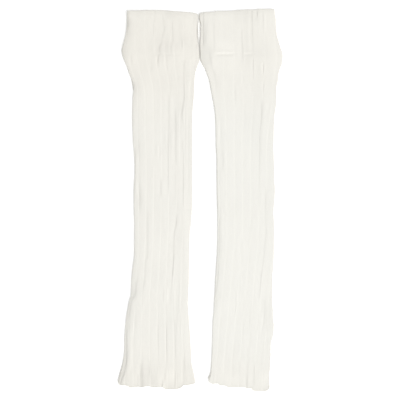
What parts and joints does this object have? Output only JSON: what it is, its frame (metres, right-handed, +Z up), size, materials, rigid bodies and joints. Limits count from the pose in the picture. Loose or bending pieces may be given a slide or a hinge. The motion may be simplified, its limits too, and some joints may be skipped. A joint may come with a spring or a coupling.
{
  "type": "pair of leg warmers",
  "caption": "Pair of long wide-rib knitted leg warmers with turned-in cuffs, laid flat side by side on a surface.",
  "frame": {"origin": "on the surface that the pair lies on, under the middle of its bounding box", "axes": "+Y along the legs towards the cuffs, +X across the pair to the right, +Z up from the surface"},
  "size_m": [0.2899, 0.67, 0.0094],
  "materials": {
    "rib_knit": "soft matt rib knit, ivory",
    "cuff_facing": "soft matt rib knit, ivory, turned in"
  },
  "bodies": {
    "root": {"left_leg": "rib_knit", "right_leg": "rib_knit", "left_cuff_facing": "cuff_facing", "right_cuff_facing": "cuff_facing"}
  },
  "joints": []
}
